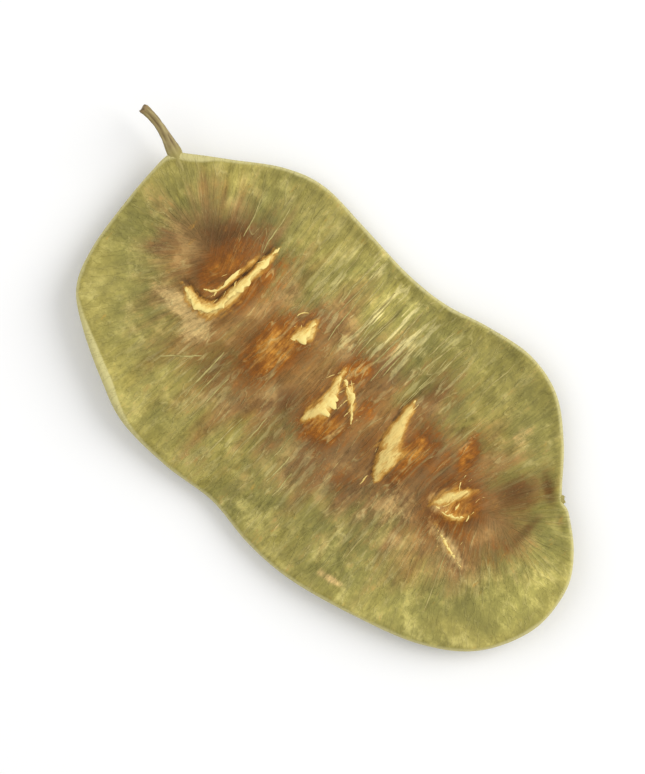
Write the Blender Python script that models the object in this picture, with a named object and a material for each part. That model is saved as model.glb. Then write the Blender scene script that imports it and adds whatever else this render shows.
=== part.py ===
"""Senna pod: one dried, flat, kidney-shaped seed pod with its short stalk, lying on one of its flat faces.

The pod grew as one piece, so it is one solid: two papery faces that meet in a corded rim, a row of
seed swellings with a torn crest over each, a stalk at one end and the point of the style at the other.
Sizes are in millimetres, and the finished mesh is scaled to metres. x runs from the stalk end to the far
end, y from the bulging edge to the hollow edge, z up from the surface that the pod lies on.
"""

import math

import bmesh
import bpy
import numpy as np
from mathutils import Matrix, Vector

NODE = "senna_pod"
MM = 0.001

# Thickness of the pod
RIM_RADIUS = 0.45
FIELD_HALF_THICKNESS = 0.37
GROOVE_DEPTH = 0.05
GROOVE_FROM_EDGE = 1.35
GROOVE_WIDTH = 0.45

# Edge of the pod seen from above, hollow edge first, in order round the pod
OUTLINE = (
    (-20.4, 5.0), (-19.2, 6.1), (-17.0, 7.7), (-14.0, 9.8), (-11.0, 10.85), (-7.0, 10.7),
    (-2.5, 10.4), (1.0, 10.65), (4.5, 11.6), (8.0, 12.15), (11.2, 11.4), (14.0, 9.2),
    (16.45, 6.4), (17.6, 5.85), (19.8, 4.0), (21.2, 1.6), (21.4, -2.0), (19.6, -5.7),
    (16.2, -8.2), (11.5, -9.9), (6.5, -11.15), (2.5, -11.35), (-1.4, -10.9), (-5.5, -11.35),
    (-9.8, -11.2), (-13.0, -10.0), (-16.5, -8.2), (-18.8, -6.4), (-19.9, -3.6), (-20.4, 0.2),
    (-20.55, 3.2),
)
OUTLINE_STEPS = 12

# Seed line, from which the veins fan out to the edge
SEED_LINE_HALF = 14.5
SEED_LINE_LOW = -0.2
SEED_LINE_BOW = 0.011
FAN_POWER = 3

# Seeds: place, and size against the largest
SEEDS = ((-11.7, 1.9, 1.0), (-5.4, 0.5, 0.9), (0.2, -0.2, 0.92), (5.8, 0.9, 1.0), (11.0, 0.9, 0.9))
SEED_HALF_BREADTH = 2.35
SEED_HALF_LENGTH = 3.5
SEED_RISE = 0.85
SEED_FLATNESS = 1.5

# Low folds across the faces: x on the seed line, first y, last y, rise
FOLDS = (
    (-17.6, -4.5, 3.0, 0.08), (-15.2, -7.5, 1.5, 0.1), (-14.4, 3.5, 8.5, 0.09), (-8.7, -8.5, 9.0, 0.13),
    (-6.6, 4.2, 9.0, 0.09), (-4.5, 5.0, 9.8, 0.12), (-3.2, -9.5, -2.5, 0.12), (-2.4, 1.0, 8.0, 0.1),
    (0.3, 3.6, 9.4, 0.13), (0.5, -9.0, -4.5, 0.11), (2.9, -8.0, 6.5, 0.12), (5.1, 4.5, 10.4, 0.13),
    (5.8, -9.6, -4.0, 0.1), (8.4, -6.5, 8.5, 0.12), (10.9, 4.6, 9.8, 0.09), (12.2, -8.4, -3.8, 0.1),
    (14.3, -4.5, 6.0, 0.12), (16.9, -5.0, 4.0, 0.1), (18.9, -3.5, 2.0, 0.08),
)
FOLD_WIDTH = 0.75
FOLD_LEAN = 0.012
RELIEF_FADE = 2.5

# How the dried pod has warped: rise of its ends, its sides and one diagonal, and the waves of its edge
REST_HEIGHT = 0.9
END_RISE = 1.4
SIDE_RISE = 0.5
TWIST_RISE = 0.45
WAVE_RISE = 0.22
WAVES_ROUND = 5
WAVE_PHASE = 0.6
WAVE_REACH = 1.3
HALF_LENGTH = 21.0
HALF_WIDTH = 11.7

# Crests over the seeds: points of each ridge as (x, y), its height and its half width
CRESTS = (
    (((-13.6, -1.8), (-12.0, -2.0), (-10.4, -1.5), (-10.3, 1.9), (-10.2, 5.7)), 0.42, 0.45),
    (((-5.3, -0.4), (-4.7, 1.3), (-4.9, 3.5)), 0.3, 0.5),
    (((-0.8, -2.2), (-0.6, -0.3), (-1.1, 2.0)), 0.36, 0.5),
    (((-0.9, 1.2), (0.7, 0.8), (2.1, -0.6)), 0.28, 0.35),
    (((6.3, -2.2), (5.3, 0.0), (4.5, 3.9)), 0.45, 0.7),
    (((10.3, -0.3), (11.0, 1.1), (11.8, 2.6)), 0.36, 0.55),
    (((11.3, -1.2), (12.8, -1.8), (14.7, -2.1)), 0.22, 0.35),
)
CREST_ROOT = 0.4
CREST_END = 0.2
CREST_FULLNESS = 0.6
CREST_RINGS = 10
CREST_SMOOTHINGS = 2
CREST_SECTION = ((-1.15, 0), (-0.75, 0.45), (-0.3, 0.93), (0.15, 1.0), (0.6, 0.6), (1.15, 0))

# Stalk: points of its centre line as (x, y, rise above the rim), and the radius at each
STALK = (
    (-18.8, 4.6, 0.0, 0.3), (-19.7, 5.0, 0.0, 0.44), (-20.4, 5.3, 0.0, 0.54), (-21.0, 5.52, 0.04, 0.48),
    (-21.6, 5.72, 0.1, 0.4), (-22.5, 5.93, 0.2, 0.36), (-23.4, 6.0, 0.32, 0.35), (-23.9, 5.95, 0.4, 0.4),
)
# Point of the style, in the nick of the far end
STYLE = ((15.7, 5.5, 0.0, 0.3), (16.3, 6.0, 0.0, 0.36), (16.55, 6.22, 0.01, 0.34), (16.7, 6.35, 0.02, 0.3))
ROD_SIDES = 10

# Fineness of the faceted faces
COLUMNS = 76
INNER_ROWS = 8
RIM_ROWS = (1.25, 0.85, 0.5, 0.26, 0.09, 0.0)
SHARPEST_SMOOTH_EDGE = 40


def smooth_closed_curve(corners, steps):
    """Points of a Catmull-Rom curve through the corners, closed on itself."""
    knots = np.array(corners, float)
    before, start, end, after = (np.roll(knots, shift, axis=0) for shift in (1, 0, -1, -2))
    points = []
    for t in np.arange(steps) / steps:
        points.append(
            0.5
            * (
                2 * start
                + (end - before) * t
                + (2 * before - 5 * start + 4 * end - after) * t**2
                + (3 * start - before - 3 * end + after) * t**3
            )
        )
    return np.stack(points, axis=1).reshape(-1, 2)


EDGE = smooth_closed_curve(OUTLINE, OUTLINE_STEPS)


def distance_from_edge(x, y):
    """Distance of each place from the pod's edge."""
    place = np.stack([x, y], axis=-1)[:, None, :]
    start = EDGE[None]
    along = np.roll(EDGE, -1, axis=0)[None] - start
    share = ((place - start) * along).sum(-1) / (along * along).sum(-1)
    nearest = start + np.clip(share, 0, 1)[..., None] * along
    return np.linalg.norm(place - nearest, axis=-1).min(axis=1)


def reach_of_ray(origin, direction):
    """How far a ray from inside the pod runs before it meets the edge."""
    start = EDGE - origin
    along = np.roll(EDGE, -1, axis=0) - EDGE
    turn = direction[0] * along[:, 1] - direction[1] * along[:, 0]
    turn = np.where(np.abs(turn) < 1e-9, 1e-9, turn)
    reach = (start[:, 0] * along[:, 1] - start[:, 1] * along[:, 0]) / turn
    share = (start[:, 0] * direction[1] - start[:, 1] * direction[0]) / turn
    return reach[(reach > 0) & (share >= 0) & (share <= 1)].min()


def middle_height(x, y):
    """Height of the surface half-way between the two faces, warped as the pod dried."""
    along, across = x / HALF_LENGTH, y / HALF_WIDTH
    outward = np.clip(along**2 + across**2, 0, WAVE_REACH)
    wave = WAVE_RISE * outward**2 * np.sin(WAVES_ROUND * np.arctan2(across, along) + WAVE_PHASE)
    return REST_HEIGHT + END_RISE * along**2 + SIDE_RISE * across**2 + TWIST_RISE * along * across + wave


def seed_swelling(x, y):
    """Rise of a face over the seeds."""
    rise = np.zeros_like(x)
    for seed_x, seed_y, size in SEEDS:
        off_along = (x - seed_x) / (SEED_HALF_BREADTH * size)
        off_across = (y - seed_y) / (SEED_HALF_LENGTH * size)
        off = (off_along**2 + off_across**2) ** SEED_FLATNESS
        rise = np.maximum(rise, SEED_RISE * size * np.exp(-off))
    return rise


def folds(x, y):
    """Rise of a face along the folds, which lean outwards towards the pod's ends."""
    rise = np.zeros_like(x)
    for fold_x, first, last, height in FOLDS:
        off = x - fold_x * (1 + FOLD_LEAN * np.abs(y))
        stretch = (y - (first + last) / 2) / ((last - first) / 2)
        rise += height * np.exp(-((off / FOLD_WIDTH) ** 2) - stretch**4)
    return rise


def half_thickness(x, y):
    """Distance of each face from the middle surface: corded rim, groove, thin field, folds and seeds."""
    inward = distance_from_edge(x, y)
    cord = np.sqrt(np.clip(RIM_RADIUS**2 - (inward - RIM_RADIUS) ** 2, 0, None))
    groove = GROOVE_DEPTH * np.exp(-(((inward - GROOVE_FROM_EDGE) / GROOVE_WIDTH) ** 2))
    fade = np.clip((inward - RIM_RADIUS) / RELIEF_FADE, 0, 1)
    field = FIELD_HALF_THICKNESS - groove + (folds(x, y) + seed_swelling(x, y)) * fade
    return np.where(inward < RIM_RADIUS, cord, np.maximum(cord, field))


def face_height(x, y, side):
    """Height of the upper face (side 1) or the under face (side -1), which is flat where it rests."""
    return np.maximum(middle_height(x, y) + side * half_thickness(x, y), 0)


def pod_skin():
    """Mesh of the whole pod: columns run across it through the seed line, rows run round it."""
    rows = INNER_ROWS + len(RIM_ROWS) - 1
    index, faces = {}, []

    def vertex(side, column, half, row):
        """The vertex of this name. Both halves share the seed line and both faces share the rim."""
        half = 0 if row == 0 or column in (0, COLUMNS) else half
        side = 0 if row == rows else side
        return index.setdefault((side, column, half, row), len(index))

    places = {}
    for column in range(COLUMNS + 1):
        u = 2 * column / COLUMNS - 1
        line_x = SEED_LINE_HALF * math.sin(u * math.pi / 2)
        origin = np.array([line_x, SEED_LINE_LOW + SEED_LINE_BOW * line_x**2])
        fan = math.copysign(abs(u) ** FAN_POWER, u) * math.pi / 2
        for half in (1, -1):
            direction = np.array([math.sin(fan), half * math.cos(fan)])
            reach = reach_of_ray(origin, direction)
            inner = [reach - (reach - RIM_ROWS[0]) * k / INNER_ROWS for k in range(INNER_ROWS)]
            for row, inset in enumerate(inner + list(RIM_ROWS)):
                place = origin + direction * (reach - inset)
                for side in (1, -1):
                    places[vertex(side, column, half, row)] = (*place, side if row < rows else 0)
    table = np.array([places[k] for k in range(len(places))])
    x, y, side = table.T
    z = np.where(side == 0, middle_height(x, y), face_height(x, y, side))
    points = np.stack([x, y, z], axis=1)
    for column in range(COLUMNS):
        for half in (1, -1):
            for row in range(rows):
                for side in (1, -1):
                    corners = [
                        vertex(side, column, half, row), vertex(side, column + 1, half, row),
                        vertex(side, column + 1, half, row + 1), vertex(side, column, half, row + 1),
                    ]
                    faces.append(corners if side * half > 0 else corners[::-1])
    return points, faces


def object_from(name, points, faces):
    """A mesh object of these points and faces, closed, with its faces pointing out."""
    mesh = bpy.data.meshes.new(name)
    mesh.from_pydata([tuple(p) for p in points], [], faces)
    build = bmesh.new()
    build.from_mesh(mesh)
    bmesh.ops.triangulate(build, faces=build.faces[:])
    bmesh.ops.recalc_face_normals(build, faces=build.faces[:])
    build.to_mesh(mesh)
    build.free()
    made = bpy.data.objects.new(name, mesh)
    bpy.context.scene.collection.objects.link(made)
    return made


def tapered_rod(name, route):
    """A round rod along (x, y, rise above the middle surface, radius), with closed ends."""
    x, y, rise, radii = np.array(route).T
    centres = np.stack([x, y, middle_height(x, y) + rise], axis=1)
    heading = np.gradient(centres, axis=0)
    points = []
    for centre, ahead, radius in zip(centres, heading, radii):
        ahead = ahead / np.linalg.norm(ahead)
        across = np.cross(ahead, (0, 0, 1))
        across = across / np.linalg.norm(across)
        up = np.cross(across, ahead)
        for k in range(ROD_SIDES):
            turn = 2 * math.pi * k / ROD_SIDES
            points.append(centre + radius * (math.cos(turn) * across + math.sin(turn) * up))
    faces = []
    for ring in range(len(route) - 1):
        for k in range(ROD_SIDES):
            ahead = (k + 1) % ROD_SIDES
            low, high = ring * ROD_SIDES, (ring + 1) * ROD_SIDES
            faces.append([low + k, low + ahead, high + ahead, high + k])
    last = (len(route) - 1) * ROD_SIDES
    faces.append(list(range(ROD_SIDES))[::-1])
    faces.append([last + k for k in range(ROD_SIDES)])
    return object_from(name, points, faces)


def smooth_open_curve(corners, count):
    """Evenly spaced points of a smooth curve through the corners, from the first to the last."""
    knots = np.array(corners, float)
    for _ in range(CREST_SMOOTHINGS):
        near_start = 0.75 * knots[:-1] + 0.25 * knots[1:]
        near_end = 0.25 * knots[:-1] + 0.75 * knots[1:]
        cut = np.stack([near_start, near_end], axis=1).reshape(-1, 2)
        knots = np.vstack([knots[:1], cut, knots[-1:]])
    steps = np.linalg.norm(np.diff(knots, axis=0), axis=1)
    travelled = np.concatenate([[0], np.cumsum(steps)])
    stops = np.linspace(0, travelled[-1], count)
    return np.stack([np.interp(stops, travelled, knots[:, axis]) for axis in (0, 1)], axis=1)


def crest(name, route, height, half_width):
    """A torn ridge of skin along a route on the upper face: rounded, thin at both ends, rooted in the pod."""
    centres = smooth_open_curve(route, CREST_RINGS)
    heading = np.gradient(centres, axis=0)
    heading /= np.linalg.norm(heading, axis=1, keepdims=True)
    share = np.linspace(0, 1, CREST_RINGS)
    swell = CREST_END + (1 - CREST_END) * np.sin(math.pi * share) ** CREST_FULLNESS
    across = np.stack([-heading[:, 1], heading[:, 0]], axis=1)
    skin = face_height(centres[:, 0], centres[:, 1], 1)
    points, faces = [], []
    for place, side, level, size in zip(centres, across, skin, swell):
        for offset, rise in CREST_SECTION:
            spot = place + side * offset * half_width * size
            points.append((*spot, level + (rise * height * size if rise > 0 else -CREST_ROOT)))
    sides = len(CREST_SECTION)
    for ring in range(CREST_RINGS - 1):
        for k in range(sides):
            low, high, ahead = ring * sides, (ring + 1) * sides, (k + 1) % sides
            faces.append([low + k, low + ahead, high + ahead, high + k])
    faces.append(list(range(sides))[::-1])
    faces.append([(CREST_RINGS - 1) * sides + k for k in range(sides)])
    return object_from(name, points, faces)


def join_grown_parts(pod, grown):
    """Fuses the stalk, the style and the crests into the pod as one body."""
    holder = bpy.data.collections.new("grown_parts")
    bpy.context.scene.collection.children.link(holder)
    for part in grown:
        bpy.context.scene.collection.objects.unlink(part)
        holder.objects.link(part)
    union = pod.modifiers.new("grown together", "BOOLEAN")
    union.operation = "UNION"
    union.operand_type = "COLLECTION"
    union.collection = holder
    union.solver = "EXACT"
    bpy.context.view_layer.update()
    graph = bpy.context.evaluated_depsgraph_get()
    joined = bpy.data.meshes.new_from_object(pod.evaluated_get(graph))
    pod.modifiers.clear()
    pod.data = joined
    for part in grown:
        bpy.data.objects.remove(part)
    bpy.data.collections.remove(holder)


def centre_and_scale(pod):
    """Puts the middle of the pod's box over the origin and its resting spots at z = 0, in metres."""
    corners = np.array([v.co for v in pod.data.vertices])
    low, high = corners.min(axis=0), corners.max(axis=0)
    shift = Vector((-(low[0] + high[0]) / 2, -(low[1] + high[1]) / 2, -low[2]))
    pod.data.transform(Matrix.Scale(MM, 4) @ Matrix.Translation(shift))


def pod_material():
    """Dry, papery olive skin."""
    skin = bpy.data.materials.new("pod skin")
    skin.use_nodes = True
    shader = skin.node_tree.nodes["Principled BSDF"]
    shader.inputs["Base Color"].default_value = (0.36, 0.3, 0.1, 1)
    shader.inputs["Roughness"].default_value = 0.65
    shader.inputs["Metallic"].default_value = 0.0
    return skin


def main():
    for old in list(bpy.data.objects):
        bpy.data.objects.remove(old)
    pod = object_from(NODE, *pod_skin())
    grown = [tapered_rod("stalk", STALK), tapered_rod("style", STYLE)]
    grown += [crest(f"crest_{k}", *ridge) for k, ridge in enumerate(CRESTS)]
    join_grown_parts(pod, grown)
    centre_and_scale(pod)
    pod.data.materials.clear()
    pod.data.materials.append(pod_material())
    pod.data.shade_smooth()
    pod.data.set_sharp_from_angle(angle=math.radians(SHARPEST_SMOOTH_EDGE))


main()
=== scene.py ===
import math

import bpy
import numpy as np
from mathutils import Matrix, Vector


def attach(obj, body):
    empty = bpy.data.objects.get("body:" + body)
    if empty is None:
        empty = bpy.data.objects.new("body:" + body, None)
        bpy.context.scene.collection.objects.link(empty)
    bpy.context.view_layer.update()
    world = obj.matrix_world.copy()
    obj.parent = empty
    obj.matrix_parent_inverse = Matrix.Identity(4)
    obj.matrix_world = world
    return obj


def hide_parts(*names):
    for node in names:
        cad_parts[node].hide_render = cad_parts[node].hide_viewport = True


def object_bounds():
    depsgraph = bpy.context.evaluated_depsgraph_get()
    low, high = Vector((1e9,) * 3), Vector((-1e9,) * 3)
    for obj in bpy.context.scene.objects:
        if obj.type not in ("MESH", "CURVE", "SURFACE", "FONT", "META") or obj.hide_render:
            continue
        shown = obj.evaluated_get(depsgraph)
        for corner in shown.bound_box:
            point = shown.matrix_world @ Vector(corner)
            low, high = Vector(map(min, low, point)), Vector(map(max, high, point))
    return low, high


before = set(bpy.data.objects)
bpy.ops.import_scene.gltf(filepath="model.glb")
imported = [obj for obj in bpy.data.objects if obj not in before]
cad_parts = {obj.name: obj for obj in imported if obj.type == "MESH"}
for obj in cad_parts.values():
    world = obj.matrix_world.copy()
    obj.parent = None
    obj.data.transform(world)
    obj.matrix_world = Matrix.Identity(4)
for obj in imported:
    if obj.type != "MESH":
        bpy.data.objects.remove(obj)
cadLow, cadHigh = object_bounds()
nodeName = "senna_pod"
mm = 0.001


# Shape of the pod, in millimetres
pod = {
    "rimRadius": 0.45, "fieldHalfThickness": 0.37,
    "grooveDepth": 0.05, "grooveFromEdge": 1.35, "grooveWidth": 0.45,
    "outline": (
        (-20.4, 5.0), (-19.2, 6.1), (-17.0, 7.7), (-14.0, 9.8), (-11.0, 10.85), (-7.0, 10.7),
        (-2.5, 10.4), (1.0, 10.65), (4.5, 11.6), (8.0, 12.15), (11.2, 11.4), (14.0, 9.2),
        (16.45, 6.4), (17.6, 5.85), (19.8, 4.0), (21.2, 1.6), (21.4, -2.0), (19.6, -5.7),
        (16.2, -8.2), (11.5, -9.9), (6.5, -11.15), (2.5, -11.35), (-1.4, -10.9), (-5.5, -11.35),
        (-9.8, -11.2), (-13.0, -10.0), (-16.5, -8.2), (-18.8, -6.4), (-19.9, -3.6), (-20.4, 0.2),
        (-20.55, 3.2),
    ),
    "outlineSteps": 12,
    "seedLineHalf": 14.5, "seedLineLow": -0.2, "seedLineBow": 0.011, "fanPower": 3,
    "seeds": ((-11.7, 1.9, 1.0), (-5.4, 0.5, 0.9), (0.2, -0.2, 0.92), (5.8, 0.9, 1.0), (11.0, 0.9, 0.9)),
    "seedHalfBreadth": 2.35, "seedHalfLength": 3.5, "seedRise": 0.85, "seedFlatness": 1.5,
    "folds": (  # x on the seed line, first y, last y, rise
        (-17.6, -4.5, 3.0, 0.08), (-15.2, -7.5, 1.5, 0.1), (-14.4, 3.5, 8.5, 0.09), (-8.7, -8.5, 9.0, 0.13),
        (-6.6, 4.2, 9.0, 0.09), (-4.5, 5.0, 9.8, 0.12), (-3.2, -9.5, -2.5, 0.12), (-2.4, 1.0, 8.0, 0.1),
        (0.3, 3.6, 9.4, 0.13), (0.5, -9.0, -4.5, 0.11), (2.9, -8.0, 6.5, 0.12), (5.1, 4.5, 10.4, 0.13),
        (5.8, -9.6, -4.0, 0.1), (8.4, -6.5, 8.5, 0.12), (10.9, 4.6, 9.8, 0.09), (12.2, -8.4, -3.8, 0.1),
        (14.3, -4.5, 6.0, 0.12), (16.9, -5.0, 4.0, 0.1), (18.9, -3.5, 2.0, 0.08),
    ),
    "foldWidth": 0.75, "foldLean": 0.012, "reliefFade": 2.5,
    "restHeight": 0.9, "endRise": 1.4, "sideRise": 0.5, "twistRise": 0.45,
    "waveRise": 0.22, "wavesRound": 5, "wavePhase": 0.6, "waveReach": 1.3,
    "halfLength": 21.0, "halfWidth": 11.7,
    "stalk": (  # x, y, rise above the middle surface, radius, which is a little under the solid's
        (-18.8, 4.6, 0.0, 0.3), (-19.7, 5.0, 0.0, 0.44), (-20.4, 5.3, 0.0, 0.53), (-21.0, 5.52, 0.04, 0.44),
        (-21.6, 5.72, 0.1, 0.35), (-22.5, 5.93, 0.2, 0.31), (-23.4, 6.0, 0.32, 0.31),
        (-23.9, 5.95, 0.4, 0.37),
    ),
    "style": (
        (15.7, 5.5, 0.0, 0.3), (16.3, 6.0, 0.0, 0.36), (16.55, 6.22, 0.01, 0.34), (16.7, 6.35, 0.02, 0.3),
    ),
}


# Node helpers

def tint(red, green, blue):  # a screen colour, 0 to 255, as the shader's linear values
    shares = [value / 255 for value in (red, green, blue)]
    return tuple(s / 12.92 if s <= 0.04045 else ((s + 0.055) / 1.055) ** 2.4 for s in shares) + (1.0,)


def fill(tree, node, values):  # links what is a socket and sets what is a plain value
    for key, value in values.items():
        if isinstance(value, bpy.types.NodeSocket):
            tree.links.new(value, node.inputs[key])
        else:
            node.inputs[key].default_value = value


def add(tree, kind, values=None, **settings):  # a node, with its settings, values and links
    made = tree.nodes.new(kind)
    for name, value in settings.items():
        setattr(made, name, value)
    fill(tree, made, values or {})
    return made


def calc(tree, operation, first, second=0.0, third=0.0, clamp=False):
    values = {0: first, 1: second, 2: third}
    return add(tree, "ShaderNodeMath", values, operation=operation, use_clamp=clamp).outputs[0]


def span(tree, value, low, high, toLow=0.0, toHigh=1.0):  # an eased step from low to high
    values = {"Value": value, "From Min": low, "From Max": high, "To Min": toLow, "To Max": toHigh}
    return add(tree, "ShaderNodeMapRange", values, interpolation_type="SMOOTHSTEP").outputs[0]


def noise(tree, vector, scale, detail=3.0, roughness=0.55):
    values = {"Vector": vector, "Scale": scale, "Detail": detail, "Roughness": roughness}
    return add(tree, "ShaderNodeTexNoise", values).outputs[0]


def offMiddle(tree, value):  # how far a noise is from its middle
    return calc(tree, "SUBTRACT", value, 0.5)


def threads(tree, vector, scale, width, detail=1.5):  # 1 on thin winding lines, 0 off them
    away = calc(tree, "ABSOLUTE", offMiddle(tree, noise(tree, vector, scale, detail, 0.6)))
    return span(tree, away, 0.0, width, 1.0, 0.0)


def moved(tree, vector, by):
    return add(tree, "ShaderNodeVectorMath", {0: vector, 1: by}, operation="ADD").outputs[0]


def scaled(tree, vector, factor):
    return add(tree, "ShaderNodeVectorMath", {0: vector, "Scale": factor}, operation="SCALE").outputs[0]


def drawnOut(tree, vector, squeeze):  # y squeezed, so that a texture is drawn out along it
    values = {0: vector, 1: (1.0, squeeze, 1.0)}
    return add(tree, "ShaderNodeVectorMath", values, operation="MULTIPLY").outputs[0]


def upward(tree, height):
    return add(tree, "ShaderNodeCombineXYZ", {2: height}).outputs[0]


def push(tree, vector, scale):  # a vector noise round zero
    values = {"Vector": vector, "Scale": scale, "Detail": 2.0}
    return moved(tree, add(tree, "ShaderNodeTexNoise", values).outputs[1], (-0.5, -0.5, -0.5))


def warped(tree, vector, scale, amount):
    return moved(tree, vector, scaled(tree, push(tree, vector, scale), amount))


def blend(tree, factor, first, second, mode="MIX"):
    values = {0: factor, 6: first, 7: second}
    return add(tree, "ShaderNodeMix", values, data_type="RGBA", blend_type=mode).outputs[2]


def layered(tree, colour, steps):  # steps: texture, where it sets in, where it is full, share, colour
    for texture, low, high, share, tone in steps:
        colour = blend(tree, span(tree, texture, low, high, 0.0, share), colour, tone)
    return colour


def shaded(tree, colour, factor):  # a colour made lighter or darker
    grey = add(tree, "ShaderNodeCombineColor", {0: factor, 1: factor, 2: factor}).outputs[0]
    return blend(tree, 1.0, colour, grey, "MULTIPLY")


def newMaterial(name):
    made = bpy.data.materials.new(name)
    made.use_nodes = True
    shader = made.node_tree.nodes["Principled BSDF"]
    return made, made.node_tree, shader


def objectInMm(tree):
    return scaled(tree, add(tree, "ShaderNodeTexCoord").outputs["Object"], 1 / mm)


def mark(tree, name, socket="Fac"):
    return add(tree, "ShaderNodeAttribute", attribute_name=name).outputs[socket]


def endMaterial(tree, shader, colour, height, strength, distance, roughness):
    values = {"Strength": strength, "Distance": distance, "Height": height}
    bump = add(tree, "ShaderNodeBump", values).outputs[0]
    fill(tree, shader, {"Base Color": colour, "Normal": bump, "Roughness": roughness})


def newShape(name, labels):  # an empty geometry tree with named inputs
    tree = bpy.data.node_groups.new(name, "GeometryNodeTree")
    tree.interface.new_socket("Geometry", in_out="INPUT", socket_type="NodeSocketGeometry")
    for label in labels:
        tree.interface.new_socket(label, in_out="INPUT", socket_type="NodeSocketFloat")
    tree.interface.new_socket("Geometry", in_out="OUTPUT", socket_type="NodeSocketGeometry")
    return tree, tree.nodes.new("NodeGroupInput").outputs, tree.nodes.new("NodeGroupOutput")


def endShape(tree, last, geometry, material):
    real = add(tree, "GeometryNodeRealizeInstances", {0: geometry}).outputs[0]
    coloured = add(tree, "GeometryNodeSetMaterial", {0: real, "Material": material}).outputs[0]
    tree.links.new(coloured, last.inputs[0])


def read(tree, name, kind="FLOAT"):
    return add(tree, "GeometryNodeInputNamedAttribute", {"Name": name}, data_type=kind).outputs[0]


def keep(tree, geometry, name, value, kind="FLOAT"):
    values = {0: geometry, "Name": name, "Value": value}
    return add(tree, "GeometryNodeStoreNamedAttribute", values, data_type=kind).outputs[0]


def place(tree):
    return add(tree, "GeometryNodeInputPosition").outputs[0]


def shifted(tree, geometry, offset):
    return add(tree, "GeometryNodeSetPosition", {0: geometry, "Offset": offset}).outputs[0]


def placed(tree, geometry, position):
    return add(tree, "GeometryNodeSetPosition", {0: geometry, "Position": position}).outputs[0]


def evenPath(tree, given):  # the piece's own edges as curves with evenly spaced points
    values = {0: add(tree, "GeometryNodeMeshToCurve", {0: given[0]}).outputs[0], "Length": given["Step"]}
    return add(tree, "GeometryNodeResampleCurve", values, mode="LENGTH").outputs[0]


def ring(tree, steps):
    return add(tree, "GeometryNodeCurvePrimitiveCircle", {"Resolution": steps, "Radius": 1.0}).outputs[0]


def sweep(tree, path, profile, size):
    values = {0: path, 1: profile, "Scale": size, "Fill Caps": True}
    return add(tree, "GeometryNodeCurveToMesh", values).outputs[0]


def onSkin(tree, face):  # the spot on the skin straight over each point, or under it for face -1
    target = add(tree, "GeometryNodeObjectInfo", {"Object": bpy.data.objects["podSkin"]}).outputs["Geometry"]
    rise = upward(tree, calc(tree, "MULTIPLY", face, 20 * mm))  # starts the ray well clear of the pod
    values = {0: target, "Source Position": moved(tree, place(tree), rise), "Ray Length": 1.0}
    ray = add(tree, "GeometryNodeRaycast", {**values, "Ray Direction": scaled(tree, rise, -1.0)})
    return ray.outputs["Hit Position"], ray.outputs["Hit Normal"]


def shapeBy(piece, tree, values):  # runs a geometry tree on a piece and keeps what it makes as a plain mesh
    modifier = piece.modifiers.new(tree.name, "NODES")
    modifier.node_group = tree
    for item in tree.interface.items_tree:
        if item.item_type == "SOCKET" and item.in_out == "INPUT" and item.name in values:
            modifier[item.identifier] = values[item.name]
    bpy.context.view_layer.update()
    graph = bpy.context.evaluated_depsgraph_get()
    piece.data = bpy.data.meshes.new_from_object(piece.evaluated_get(graph))
    piece.modifiers.clear()
    piece.data.shade_smooth()


def newPiece(name, points, faces=(), edges=(), **attributes):
    mesh = bpy.data.meshes.new(name)
    mesh.from_pydata([tuple(p) for p in points], list(edges), list(faces))
    for label, values in attributes.items():
        values = np.asarray(values, np.float32)
        kind, field = ("FLOAT_VECTOR", "vector") if values.ndim == 2 else ("FLOAT", "value")
        mesh.attributes.new(label, kind, "POINT").data.foreach_set(field, values.ravel())
    made = bpy.data.objects.new(name, mesh)
    bpy.context.scene.collection.objects.link(made)
    return made


def linked(lines):  # all the lines' points in one list, with the edges that join each line's own
    edges, count = [], 0
    for line in lines:
        edges += [(count + k, count + k + 1) for k in range(len(line) - 1)]
        count += len(line)
    return np.concatenate(lines), edges


def handIn(piece):
    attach(piece, "root")
    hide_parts(nodeName)
    print(piece.name, len(piece.data.polygons), "faces", flush=True)


# Shape of the pod's faces

def smoothClosedCurve(corners, steps):
    knots = np.array(corners, float)
    before, start, end, after = (np.roll(knots, shift, axis=0) for shift in (1, 0, -1, -2))
    points = []
    for t in np.arange(steps) / steps:
        bend = (2 * before - 5 * start + 4 * end - after) * t**2
        twist = (3 * start - before - 3 * end + after) * t**3
        points.append(0.5 * (2 * start + (end - before) * t + bend + twist))
    return np.stack(points, axis=1).reshape(-1, 2)


def smoothOpenCurve(corners, count, rounds=3):
    knots = np.array(corners, float)
    for _ in range(rounds):
        cut = np.stack([0.75 * knots[:-1] + 0.25 * knots[1:], 0.25 * knots[:-1] + 0.75 * knots[1:]], axis=1)
        knots = np.vstack([knots[:1], cut.reshape(-1, knots.shape[1]), knots[-1:]])
    travelled = np.concatenate([[0], np.cumsum(np.linalg.norm(np.diff(knots[:, :2], axis=0), axis=1))])
    stops = np.linspace(0, travelled[-1], count)
    return np.stack([np.interp(stops, travelled, column) for column in knots.T], axis=1)


edge = smoothClosedCurve(pod["outline"], pod["outlineSteps"])
shift = np.array([cadHigh[0] / mm - edge[:, 0].max(), -(edge[:, 1].min() + edge[:, 1].max()) / 2, 0.0])


def toFrame(points):  # from the pod's own millimetres to the frame
    return (np.asarray(points, float) + shift) * mm


def distanceFromEdge(x, y):
    ahead = np.roll(edge, -1, axis=0) - edge
    nearest, atOnce = np.empty(len(x)), 4000  # so many places at a time, to spare memory
    for first in range(0, len(x), atOnce):
        spot = np.stack([x, y], axis=-1)[first:first + atOnce, None, :]
        share = ((spot - edge) * ahead).sum(-1) / (ahead * ahead).sum(-1)
        foot = edge + np.clip(share, 0, 1)[..., None] * ahead
        nearest[first:first + atOnce] = np.linalg.norm(spot - foot, axis=-1).min(axis=1)
    return nearest


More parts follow.
